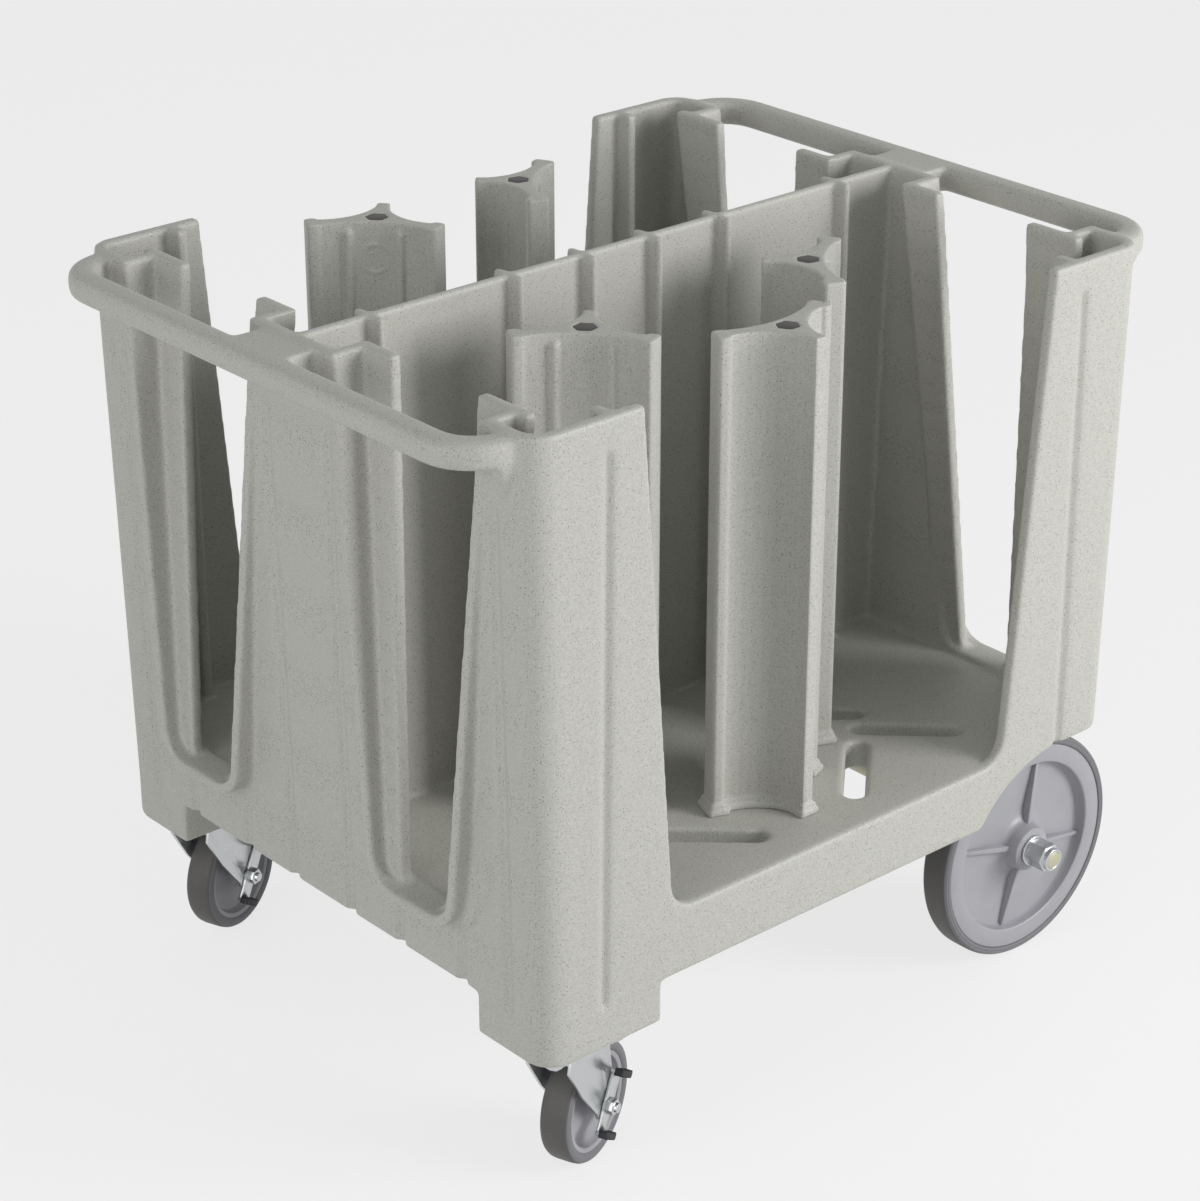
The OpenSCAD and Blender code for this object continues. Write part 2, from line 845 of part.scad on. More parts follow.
// A stand: the slot that a tower uses, the quarter of the deck and its distance along the slot.
// A tower's short arm points to the first end of its slot.
module stand(ends, side, along) {
    span = ends[1] - ends[0];
    step = span / norm(span);
    translate([side.x * (ends[0].x + along * step.x), side.y * (ends[0].y + along * step.y), 0])
        rotate([0, 0, atan2(-side.y * step.y, -side.x * step.x) + 90]) children();
}

module stand_a() {
    stand(inner_slot, [-1, -1], inner_stand) children();
}

module stand_b() {
    stand(middle_slot, [1, -1], middle_stand) children();
}

module stand_c() {
    stand(inner_slot, [1, -1], inner_stand) children();
}

module stand_d() {
    stand(outer_slot, [-1, 1], outer_stand) children();
}

module stand_e() {
    stand(outer_slot, [1, 1], outer_stand) children();
}

deck();
mirror([0, 1, 0]) far_skirt();  // skirt_near
far_skirt();  // skirt_far
caster_end_skirt();  // skirt_caster_end
end_skirt();  // skirt_wheel_end
mirror([1, 0, 0]) mirror([0, 1, 0]) corner_post();  // corner_caster_near
mirror([1, 0, 0]) corner_post();  // corner_caster_far
mirror([0, 1, 0]) corner_post();  // corner_wheel_near
corner_post();  // corner_wheel_far
mirror([1, 0, 0]) end_post();  // post_caster_end
end_post();  // post_wheel_end
centre_wall();
mirror([1, 0, 0]) handle();  // handle_caster_end
handle();  // handle_wheel_end
mirror([1, 0, 0]) mirror([0, 1, 0]) foot();  // foot_near
mirror([1, 0, 0]) foot();  // foot_far
mirror([0, 1, 0]) axle_boss();  // axle_boss_near
axle_boss();  // axle_boss_far
axle();
axle_washers();
axle_nuts();
mirror([0, 1, 0]) wheel_tyre();  // wheel_tyre_near
wheel_tyre();  // wheel_tyre_far
mirror([0, 1, 0]) wheel_disc();  // wheel_disc_near
wheel_disc();  // wheel_disc_far
mirror([0, 1, 0]) wheel_bush();  // wheel_bush_near
wheel_bush();  // wheel_bush_far
translate([-kingpin_x, -kingpin_y, 0]) caster_plate();  // caster_plate_near
translate([-kingpin_x, kingpin_y, 0]) caster_plate();  // caster_plate_far
plate_bolts();
caster_place(-1) caster_fork();  // caster_fork_near
caster_place(1) caster_fork();  // caster_fork_far
caster_place(-1) kingpin();  // kingpin_near
caster_place(1) kingpin();  // kingpin_far
caster_place(-1) caster_bolt();  // caster_bolt_near
caster_place(1) caster_bolt();  // caster_bolt_far
caster_place(-1) caster_tyre();  // caster_tyre_near
caster_place(1) caster_tyre();  // caster_tyre_far
caster_place(-1) caster_hub();  // caster_hub_near
caster_place(1) caster_hub();  // caster_hub_far
caster_place(-1) brake();  // brake_near
caster_place(1) brake();  // brake_far
stand_a() tower_column();  // tower_a
stand_b() tower_column();  // tower_b
stand_c() tower_column();  // tower_c
stand_d() tower_column();  // tower_d
stand_e() tower_column();  // tower_e
stand_a() clamp_rod();  // rod_a
stand_b() clamp_rod();  // rod_b
stand_c() clamp_rod();  // rod_c
stand_d() clamp_rod();  // rod_d
stand_e() clamp_rod();  // rod_e
stand_a() clamp_plate();  // clamp_a
stand_b() clamp_plate();  // clamp_b
stand_c() clamp_plate();  // clamp_c
stand_d() clamp_plate();  // clamp_d
stand_e() clamp_plate();  // clamp_e
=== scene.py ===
"""Plate dispenser cart: body, towers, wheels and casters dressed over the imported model."""

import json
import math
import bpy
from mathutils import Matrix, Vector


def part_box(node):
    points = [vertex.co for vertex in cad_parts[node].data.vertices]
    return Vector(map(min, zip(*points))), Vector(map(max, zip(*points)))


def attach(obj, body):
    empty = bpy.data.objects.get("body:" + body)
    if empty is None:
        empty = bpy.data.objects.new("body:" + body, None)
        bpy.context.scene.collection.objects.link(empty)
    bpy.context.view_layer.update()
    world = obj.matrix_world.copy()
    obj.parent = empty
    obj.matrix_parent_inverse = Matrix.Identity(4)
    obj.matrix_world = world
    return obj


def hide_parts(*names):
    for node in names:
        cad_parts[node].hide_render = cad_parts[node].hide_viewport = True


bl_info = {
    "name": "Plate dispenser cart",
    "version": (1, 0, 0),
    "blender": (4, 5, 0),
    "location": "3D View > Sidebar > Cart",
    "description": "Dresses a moulded plate dispenser cart over its packed model",
    "category": "Add Mesh",
}

import bmesh
import bpy
from mathutils import Matrix, Vector

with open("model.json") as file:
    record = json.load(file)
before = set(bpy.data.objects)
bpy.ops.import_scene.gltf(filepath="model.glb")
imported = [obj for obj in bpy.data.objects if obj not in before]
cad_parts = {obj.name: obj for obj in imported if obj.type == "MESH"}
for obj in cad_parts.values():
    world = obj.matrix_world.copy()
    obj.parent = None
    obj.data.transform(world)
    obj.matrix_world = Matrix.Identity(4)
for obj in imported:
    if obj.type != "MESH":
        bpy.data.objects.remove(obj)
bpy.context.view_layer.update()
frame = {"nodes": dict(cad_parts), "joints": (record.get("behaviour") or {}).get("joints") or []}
NODES = frame["nodes"]
JOINTS = {joint["name"]: joint for joint in frame["joints"]}

MM = 0.001
SIDES = ("near", "far")
STANDS = ("a", "b", "c", "d", "e")
MOULDED = [
    "deck", "centre_wall", "skirt_near", "skirt_far", "skirt_caster_end", "skirt_wheel_end",
    "corner_caster_near", "corner_caster_far", "corner_wheel_near", "corner_wheel_far",
    "post_caster_end", "post_wheel_end", "handle_caster_end", "handle_wheel_end",
    "foot_near", "foot_far", "axle_boss_near", "axle_boss_far",
]

# Sockets of a Mix node that mixes colours
MIX_SHARE, MIX_FIRST, MIX_SECOND, MIX_RESULT = 0, 6, 7, 2

# Meshes. Lengths are in millimetres and angles in degrees, here and below, where no unit is named.
CAD_MERGE = 0.002
LATHE_MERGE = 0.001
SHADE_SHARP = 35
BEVEL_FROM = 30
FLAT_WITHIN = 1
BODY_TRIANGLES = 190000
BODY_LEAST_TRIANGLES = 20000
TOWER_TRIANGLES = 40000
TOWER_VOXEL = 1.5
TOWER_ROUNDS = 4
WHEEL_STEPS = 128
CASTER_STEPS = 96
CAP_STEPS = 32

# Widths of the broken edges
EDGE = {
    "socket": 0.3, "clamp": 0.6, "bush": 0.6, "spoke": 0.8, "axle": 0.7, "plate_bolt": 0.6,
    "caster_plate": 0.5, "fork": 0.7, "lever": 0.6, "tab": 0.5, "pad": 1.4, "pad_rib": 0.4,
}

# The hexagon in a tower's top, and the clamps
SOCKET_RADIUS = 12.5
SOCKET_DEPTH = 12
SOCKET_SUNK = 0.6
CLAMP_SHARE = 0.98

# Large wheels
TYRE_DEPTH = 10
DISC_INSET = 1
SPOKES = 4
SPOKE_TURN = 12.6
SPOKE_OUTLINE = [(20, 3.2), (98, 2.2), (98, -2.2), (20, -3.2)]
SPOKE_INSET = 0.5
SPOKE_LOW_FROM = 60
SPOKE_LOW_SHARE = 0.5

# Largest cosine between a tread's faces and the axis of its tyre
TREAD_COSINE = 0.6

# Casters
CASTER_TYRE_DEPTH = 12
CASTER_HALF = 16

# Brakes, in the plane of the lever, with the caster's axle bolt at the middle
BRAKE_TURN = -58
LEVER_FACE = -24.8
LEVER_THICK = 3
LEVER_OUTLINE = [
    (-31, -5), (-29, -8), (-24, -9), (30, -9), (35, -8), (37, -5),
    (37, 5), (35, 8), (30, 9), (-24, 9), (-29, 8), (-31, 5),
]
TAB_PLACES = (-28, 34)
TAB_HALF = (1.5, 11)
TAB_REACH = 13.5
PAD_HALF = (3.2, 11.4)
PAD_SPAN = (13.8, 4)
PAD_EDGE_STEPS = 3
PAD_RIBS = 9
PAD_RIB_PITCH = 2.5
PAD_RIB_HALF = (3.9, 0.6)
PAD_RIB_SPAN = (13.4, 4.6)

# Stage, in metres, watts and shares of white
FLOOR_HALF = 30
FLOOR_COLOUR = "#E0E0E0"
FLOOR_GLOW = 0.75
WORLD_LIGHT = 0.43
LAMP_TARGET = (0, 0, 0.4)
LAMPS = (
    # name, place, size, power
    ("key", (1.9, -3.3, 1.7), 1.8, 104),
    ("fill", (-3.4, -0.5, 1.3), 2.0, 30),
)
CAMERA_PLACE = (-2.0342, -2.3004, 1.8499)
CAMERA_TARGET = (0.170729, 0.218035, 0.280067)
CAMERA_LENS = 97.44
CAMERA_SENSOR = 36


# Helpers


def linear(hex_colour):
    """An sRGB hex colour as the linear colour that a shader socket takes."""
    channels = [int(hex_colour[i:i + 2], 16) / 255 for i in (1, 3, 5)]
    return [c / 12.92 if c <= 0.04045 else ((c + 0.055) / 1.055) ** 2.4 for c in channels] + [1.0]


def add_node(tree, kind, links=None, **settings):
    """Adds a shader node. Settings are its properties or input values, links its inputs."""
    made = tree.nodes.new("ShaderNode" + kind)
    for name, value in settings.items():
        if name in made.bl_rna.properties:
            setattr(made, name, value)
        else:
            made.inputs[name.replace("_", " ")].default_value = value
    for name, output in (links or {}).items():
        tree.links.new(output, made.inputs[name])
    return made


def new_material(name):
    """A node material with its tree, its Principled shader and the position on the object."""
    material = bpy.data.materials.new(name)
    material.use_nodes = True
    tree = material.node_tree
    tree.nodes.clear()
    shader = add_node(tree, "BsdfPrincipled")
    add_node(tree, "OutputMaterial", {"Surface": shader.outputs["BSDF"]})
    place = add_node(tree, "TexCoord").outputs["Object"]
    return material, tree, shader, place


def background_rays(tree):
    """1 for rays that show the background, seen straight or in metal, and 0 for the others."""
    path = add_node(tree, "LightPath")
    rays = {0: path.outputs["Is Camera Ray"], 1: path.outputs["Is Glossy Ray"]}
    return add_node(tree, "Math", rays, operation="MAXIMUM").outputs[0]


def noise(tree, place, size, detail):
    """A noise with grains of a size."""
    grain = add_node(tree, "TexNoise", {"Vector": place}, Scale=1 / (size * MM), Detail=detail)
    return grain.outputs["Fac"]


def stretched(tree, value, low, high, **span):
    """A value from 0 to 1, or from a span of its own, stretched to low and high."""
    made = add_node(tree, "MapRange", {"Value": value}, To_Min=low, To_Max=high, **span)
    return made.outputs["Result"]


def mixed(tree, share, first, second, blend="MIX"):
    """Two colours mixed. Each of the three inputs is an output of the tree or a fixed value."""
    mix = add_node(tree, "Mix", data_type="RGBA", blend_type=blend)
    for socket, value in ((MIX_SHARE, share), (MIX_FIRST, first), (MIX_SECOND, second)):
        if isinstance(value, bpy.types.NodeSocket):
            tree.links.new(value, mix.inputs[socket])
        else:
            mix.inputs[socket].default_value = value
    return mix.outputs[MIX_RESULT]


def add_bump(tree, shader, height, strength, distance):
    """Bumps a shader's surface by a height."""
    bump = add_node(tree, "Bump", {"Height": height}, Strength=strength, Distance=distance * MM)
    tree.links.new(bump.outputs["Normal"], shader.inputs["Normal"])


def speck_mask(tree, place, scale, channel, pick_from, size):
    """1 inside specks. A cell whose random channel is above pick_from holds one, up to a size."""
    cells = add_node(tree, "TexVoronoi", {"Vector": place}, feature="F1", Scale=scale)
    random = add_node(tree, "SeparateColor", {"Color": cells.outputs["Color"]})
    reach = stretched(tree, random.outputs[channel], 0.0, size, From_Min=pick_from, From_Max=1.0)
    ends = {0: cells.outputs["Distance"], 1: reach}
    return add_node(tree, "Math", ends, operation="LESS_THAN").outputs[0]


def set_material(thing, material):
    """Makes a material an object's only one."""
    thing.data.materials.clear()
    thing.data.materials.append(material)


def new_piece(name, mesh_data, body, material, replaced=()):
    """Turns a bmesh into a piece that rides on a body and stands for CAD nodes."""
    mesh = bpy.data.meshes.new(name)
    mesh_data.to_mesh(mesh)
    mesh_data.free()
    thing = bpy.data.objects.new(name, mesh)
    bpy.context.scene.collection.objects.link(thing)
    set_material(thing, material)
    for face in mesh.polygons:
        face.use_smooth = True
    mesh.set_sharp_from_angle(angle=math.radians(SHADE_SHARP))
    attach(thing, body)
    if replaced:
        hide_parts(*replaced)
    return thing


def paint_tread_shade(thing, axis):
    """Gives the faces that look away from a tyre's axis the darker tread colour, as painted shade.
    """
    thing.data.materials.append(material_of(shaded_tread_rubber))
    for face in thing.data.polygons:
        if abs(face.normal.dot(axis)) < TREAD_COSINE:
            face.material_index = 1


def cad_copy(node):
    """A bmesh with a copy of a CAD node's mesh, its loose triangles merged."""
    copy = bmesh.new()
    copy.from_mesh(NODES[node].data)
    bmesh.ops.remove_doubles(copy, verts=copy.verts, dist=CAD_MERGE * MM)
    return copy


def finished(mesh_data, *modifiers):
    """A bmesh after modifiers, each a type and its settings."""
    mesh = bpy.data.meshes.new("working")
    mesh_data.to_mesh(mesh)
    mesh_data.free()
    thing = bpy.data.objects.new("working", mesh)
    bpy.context.scene.collection.objects.link(thing)
    for kind, settings in modifiers:
        modifier = thing.modifiers.new(kind, kind)
        for name, value in settings.items():
            setattr(modifier, name, value)
    shape = thing.evaluated_get(bpy.context.evaluated_depsgraph_get())
    result = bmesh.new()
    result.from_mesh(shape.to_mesh())
    shape.to_mesh_clear()
    bpy.data.objects.remove(thing)
    bpy.data.meshes.remove(mesh)
    return result


def joined(parts):
    """One bmesh from several, with their closed shells merged by a boolean union."""
    whole = parts[0]
    for part in parts[1:]:
        mesh = bpy.data.meshes.new("part")
        part.to_mesh(mesh)
        part.free()
        tool = bpy.data.objects.new("part", mesh)
        bpy.context.scene.collection.objects.link(tool)
        union = {"object": tool, "operation": "UNION", "solver": "MANIFOLD"}
        whole = finished(whole, ("BOOLEAN", union))
        bpy.data.objects.remove(tool)
        bpy.data.meshes.remove(mesh)
    return whole


def triangles(mesh_data):
    """How many triangles a bmesh has."""
    return sum(len(face.verts) - 2 for face in mesh_data.faces)


def moulded_form(mesh_data, voxel, rounds, limit):
    """Softens every edge as a mould does: small even faces, smoothed, then thinned out."""
    soft = finished(
        mesh_data,
        ("REMESH", {"mode": "VOXEL", "voxel_size": voxel}),
        ("SMOOTH", {"factor": 0.5, "iterations": rounds}),
    )
    share = min(1.0, limit / triangles(soft))
    return finished(soft, ("DECIMATE", {"ratio": share}))


def lathe(profile, segments):
    """A closed solid of revolution about Y from (radius, place along Y) points."""
    turned = bmesh.new()
    ring = [turned.verts.new((radius * MM, along * MM, 0)) for radius, along in profile]
    edges = [turned.edges.new((ring[i], ring[(i + 1) % len(ring)])) for i in range(len(ring))]
    bmesh.ops.spin(
        turned, geom=ring + edges, cent=(0, 0, 0), axis=(0, 1, 0),
        angle=math.tau, steps=segments, use_merge=True,
    )
    bmesh.ops.remove_doubles(turned, verts=turned.verts, dist=LATHE_MERGE * MM)
    bmesh.ops.recalc_face_normals(turned, faces=turned.faces)
    return turned


def prism(points, low, high):
    """A flat outline in XZ, extruded along Y from low to high."""
    solid = bmesh.new()
    corners = [solid.verts.new((x * MM, low * MM, z * MM)) for x, z in points]
    face = solid.faces.new(corners)
    grown = bmesh.ops.extrude_face_region(solid, geom=[face])
    moved = [v for v in grown["geom"] if isinstance(v, bmesh.types.BMVert)]
    bmesh.ops.translate(solid, verts=moved, vec=(0, (high - low) * MM, 0))
    bmesh.ops.recalc_face_normals(solid, faces=solid.faces)
    return solid


def block(place, half, low, high):
    """A box about a place in XZ, with its half sizes there, from low to high along Y."""
    x, z = place
    wide, tall = half
    left, right, bottom, top = x - wide, x + wide, z - tall, z + tall
    return prism([(left, bottom), (right, bottom), (right, top), (left, top)], low, high)


def column(points, low, high):
    """A flat outline in XY, extruded upwards from low to high."""
    solid = prism(points, low, high)
    solid.transform(Matrix(((1, 0, 0, 0), (0, 0, 1, 0), (0, 1, 0, 0), (0, 0, 0, 1))))
    bmesh.ops.recalc_face_normals(solid, faces=solid.faces)
    return solid


def bevelled(mesh_data, width, segments=2):
    """Breaks the sharp edges of a bmesh."""
    bmesh.ops.dissolve_limit(
        mesh_data, angle_limit=math.radians(FLAT_WITHIN), use_dissolve_boundaries=False,
        verts=mesh_data.verts, edges=mesh_data.edges, delimit={"NORMAL"},
    )
    limit = math.radians(BEVEL_FROM)
    sharp = [e for e in mesh_data.edges if e.is_manifold and e.calc_face_angle(0) > limit]
    bmesh.ops.bevel(
        mesh_data, geom=sharp, offset=width * MM, offset_type="OFFSET", affect="EDGES",
        segments=segments, profile=0.5, clamp_overlap=True, material=-1,
    )
    return mesh_data


def merged(parts):
    """One bmesh that holds the shells of several."""
    whole = bmesh.new()
    for part in parts:
        mesh = bpy.data.meshes.new("part")
        part.to_mesh(mesh)
        part.free()
        whole.from_mesh(mesh)
        bpy.data.meshes.remove(mesh)
    return whole


def middle(node):
    """The middle of a CAD node's box."""
    low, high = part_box(node)
    return (Vector(low) + Vector(high)) / 2


def half_size(node, axis):
    """Half of a CAD node's size along an axis, in millimetres."""
    low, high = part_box(node)
    return (high[axis] - low[axis]) / 2 / MM


def placed(mesh_data, matrix):
    """A bmesh moved by a matrix."""
    mesh_data.transform(matrix)
    return mesh_data


def mirrored(edge):
    """A wheel's edge on the other side of its middle, in the order that closes its section."""
    return [(radius, -along) for radius, along in reversed(edge)]


def aim(thing, place, target):
    """Puts a lamp or camera at a place and turns it to its target."""
    thing.location = place
    heading = Vector(target) - Vector(place)
    thing.rotation_euler = heading.to_track_quat("-Z", "Y").to_euler()


# Sizes and colours


class CartBodySettings(bpy.types.PropertyGroup):
    colour: bpy.props.StringProperty(
        name="Body colour", description="Ground colour of the speckled moulding", default="#C0C0B9")
    dark_speck: bpy.props.StringProperty(
        name="Dark speck", description="Colour of the dark specks", default="#7C7B75")
    pale_speck: bpy.props.StringProperty(
        name="Pale speck", description="Colour of the pale specks", default="#D4D4CE")
    speck: bpy.props.FloatProperty(
        name="Speck spacing", description="Distance between specks", default=1.8 * MM,
        min=0.5 * MM, max=10 * MM, unit="LENGTH", subtype="DISTANCE")
    voxel: bpy.props.FloatProperty(
        name="Voxel", description="Face size while the edges are softened", default=1.9 * MM,
        min=1 * MM, max=8 * MM, unit="LENGTH", subtype="DISTANCE")
    rounds: bpy.props.IntProperty(
        name="Softening", description="Smoothing rounds that set the edge radius",
        default=30, min=0, max=60)


class CartWheelSettings(bpy.types.PropertyGroup):
    tyre: bpy.props.StringProperty(
        name="Tyre colour", description="Colour of the rubber tyres", default="#78787C")
    # The tread colour is painted shade: darker than the sides because the running face gets less
    # light.
    tread: bpy.props.StringProperty(
        name="Tread colour", description="Colour of a tyre's worn running face", default="#5C5B59")
    disc: bpy.props.StringProperty(
        name="Disc colour", description="Colour of the wheel discs", default="#A6A6AB")


class CartMetalSettings(bpy.types.PropertyGroup):
    zinc: bpy.props.StringProperty(
        name="Zinc colour", description="Colour of the plated steel", default="#C9CBCC")
    pad: bpy.props.StringProperty(
        name="Brake pad colour", description="Colour of the brake pads", default="#26262A")
    # The socket colour is dark partly for the rod's steel head and partly as painted shade of the
    # hex recess.
    socket: bpy.props.StringProperty(
        name="Socket colour", description="Colour of the hexagons in the tower tops",
        default="#3B3636")
    axle: bpy.props.StringProperty(
        name="Axle colour", description="Colour of the dull axle ends", default="#C2BFA8")


# Materials


def speckled_polyethylene():
    """Rotomoulded polyethylene: a satin skin with dark and pale specks and a faint orange peel."""
    settings = bpy.context.scene.cart_body
    material, tree, shader, place = new_material("speckled_rotomoulded_polyethylene")
    scale = 1 / settings.speck
    dark = speck_mask(tree, place, scale, "Red", 0.45, 0.34)
    pale = speck_mask(tree, place, scale * 1.35, "Green", 0.5, 0.36)
    ground = mixed(tree, pale, linear(settings.colour), linear(settings.pale_speck))
    specked = mixed(tree, dark, ground, linear(settings.dark_speck))
    shade = stretched(tree, noise(tree, place, 1.6, 1.0), 0.9, 1.1, From_Min=0.3, From_Max=0.7)
    colour = mixed(tree, 1.0, specked, shade, "MULTIPLY")
    tree.links.new(colour, shader.inputs["Base Color"])
    shader.inputs["Roughness"].default_value = 0.5
    add_bump(tree, shader, noise(tree, place, 6, 2.0), 0.12, 0.4)
    return material


def rubber(name, colour):
    """Matt rubber with a fine grain from the mould."""
    material, tree, shader, place = new_material(name)
    grain = noise(tree, place, 3, 3.0)
    shade = stretched(tree, grain, 0.88, 1.1)
    tree.links.new(mixed(tree, 1.0, linear(colour), shade, "MULTIPLY"), shader.inputs["Base Color"])
    shader.inputs["Roughness"].default_value = 0.55
    add_bump(tree, shader, grain, 0.1, 0.3)
    return material


def grey_rubber():
    """Grey non-marking rubber of the tyres' sides."""
    return rubber("grey_moulded_rubber", bpy.context.scene.cart_wheels.tyre)


def shaded_tread_rubber():
    """The same rubber on the running face, made darker as painted shade."""
    return rubber("tread_rubber_painted_shade", bpy.context.scene.cart_wheels.tread)


def grey_nylon():
    """Injection-moulded nylon of the wheel discs: smooth, with a soft shine."""
    material, tree, shader, place = new_material("grey_moulded_nylon")
    shade = stretched(tree, noise(tree, place, 25, 2.0), 0.92, 1.06)
    colour = linear(bpy.context.scene.cart_wheels.disc)
    tree.links.new(mixed(tree, 1.0, colour, shade, "MULTIPLY"), shader.inputs["Base Color"])
    shader.inputs["Roughness"].default_value = 0.38
    return material


def zinc_steel():
    """Zinc-plated pressed steel: bright, with a faintly uneven plating."""
    material, tree, shader, place = new_material("zinc_plated_steel")
    shader.inputs["Base Color"].default_value = linear(bpy.context.scene.cart_metal.zinc)
    shader.inputs["Metallic"].default_value = 1.0
    cloud = noise(tree, place, 8, 3.0)
    tree.links.new(stretched(tree, cloud, 0.2, 0.42), shader.inputs["Roughness"])
    add_bump(tree, shader, cloud, 0.05, 0.2)
    return material


def black_rubber():
    """Soft black rubber of the brake pads: dull, with a fine grain."""
    material, tree, shader, place = new_material("black_pad_rubber")
    shader.inputs["Base Color"].default_value = linear(bpy.context.scene.cart_metal.pad)
    shader.inputs["Roughness"].default_value = 0.6
    add_bump(tree, shader, noise(tree, place, 1.5, 2.0), 0.15, 0.2)
    return material


def head_and_recess_shade():
    """Dark grey hexagon in a tower's top: partly the dark rod head under it, partly painted shade
    of the recess.
    """
    material, _, shader, _ = new_material("dark_head_and_painted_recess_shade")
    shader.inputs["Base Color"].default_value = linear(bpy.context.scene.cart_metal.socket)
    shader.inputs["Roughness"].default_value = 0.5
    return material


def dull_steel():
    """Yellowish passivated steel of the axle, without much shine."""
    material, _, shader, _ = new_material("passivated_axle_steel")
    shader.inputs["Base Color"].default_value = linear(bpy.context.scene.cart_metal.axle)
    shader.inputs["Metallic"].default_value = 0.7
    shader.inputs["Roughness"].default_value = 0.5
    return material


MATERIALS = {}


def material_of(maker):
    """The material that a maker makes, made once and shared."""
    if maker not in MATERIALS:
        MATERIALS[maker] = maker()
    return MATERIALS[maker]


# Pieces


def steel_piece(name, node, body, edge, finish=zinc_steel):
    """A CAD node's own shape with its sharp edges broken."""
    form = bevelled(cad_copy(node), edge)
    new_piece(name, form, body, material_of(finish), [node])


class CART_OT_body(bpy.types.Operator):
    """Joins the moulded nodes into one shell with soft edges"""
    bl_idname = "cart.body"
    bl_label = "Moulded body"

    def execute(self, context):
        settings = context.scene.cart_body
        shell = joined([cad_copy(node) for node in MOULDED])
        form = moulded_form(shell, settings.voxel, settings.rounds, BODY_TRIANGLES)
        if triangles(form) < BODY_LEAST_TRIANGLES:
            raise RuntimeError("the moulded body came apart")
        finish = material_of(speckled_polyethylene)
        new_piece("moulded_body", form, "cart", finish, MOULDED)
        return {"FINISHED"}


class CART_OT_towers(bpy.types.Operator):
    """Makes the five column towers with softened edges, and the hexagon in each top"""
    bl_idname = "cart.towers"
    bl_label = "Column towers"

    def execute(self, context):
        for stand in STANDS:
            name = "tower_" + stand
            form = moulded_form(cad_copy(name), TOWER_VOXEL * MM, TOWER_ROUNDS, TOWER_TRIANGLES)
            finish = material_of(speckled_polyethylene)
            new_piece("column_" + stand, form, name, finish, [name])
            self.add_socket(stand, name)
        return {"FINISHED"}

    def add_socket(self, stand, name):
        """The hexagon about the rod, turned as the tower's slot is."""
        slide = Vector(JOINTS[f"tower_{stand}_slide"]["axis"])
        turn = Matrix.Rotation(math.atan2(slide.y, slide.x), 4, "Z")
        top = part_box(name)[1][2] / MM
        rod = middle("rod_" + stand)
        seat = Matrix.Translation(Vector((rod.x, rod.y, 0)))
        sixths = [corner * math.tau / 6 for corner in range(6)]
        hexagon = [(SOCKET_RADIUS * math.sin(a), SOCKET_RADIUS * math.cos(a)) for a in sixths]
        # A dark solid sunk just under the top: partly the rod head, partly painted shade of the
        # recess.
        insert = bevelled(column(hexagon, top - SOCKET_DEPTH, top - SOCKET_SUNK), EDGE["socket"])
        form = placed(insert, seat @ turn)
        new_piece("socket_" + stand, form, name, material_of(head_and_recess_shade))


class CART_OT_clamps(bpy.types.Operator):
    """Makes the clamp rods and the clamp plates under the deck"""
    bl_idname = "cart.clamps"
    bl_label = "Tower clamps"

    def execute(self, context):
        for stand in STANDS:
            steel_piece("steel_rod_" + stand, "rod_" + stand, "rod_" + stand, EDGE["clamp"])
            # A clamp is a little small, so that its tongue clears the ends of its slot
            clamp = "clamp_" + stand
            seat = Matrix.Translation(middle(clamp))
            shrink = seat @ Matrix.Diagonal((CLAMP_SHARE, CLAMP_SHARE, 1, 1)) @ seat.inverted()
            form = placed(bevelled(cad_copy(clamp), EDGE["clamp"]), shrink)
            new_piece("steel_" + clamp, form, clamp, material_of(zinc_steel), [clamp])
        return {"FINISHED"}


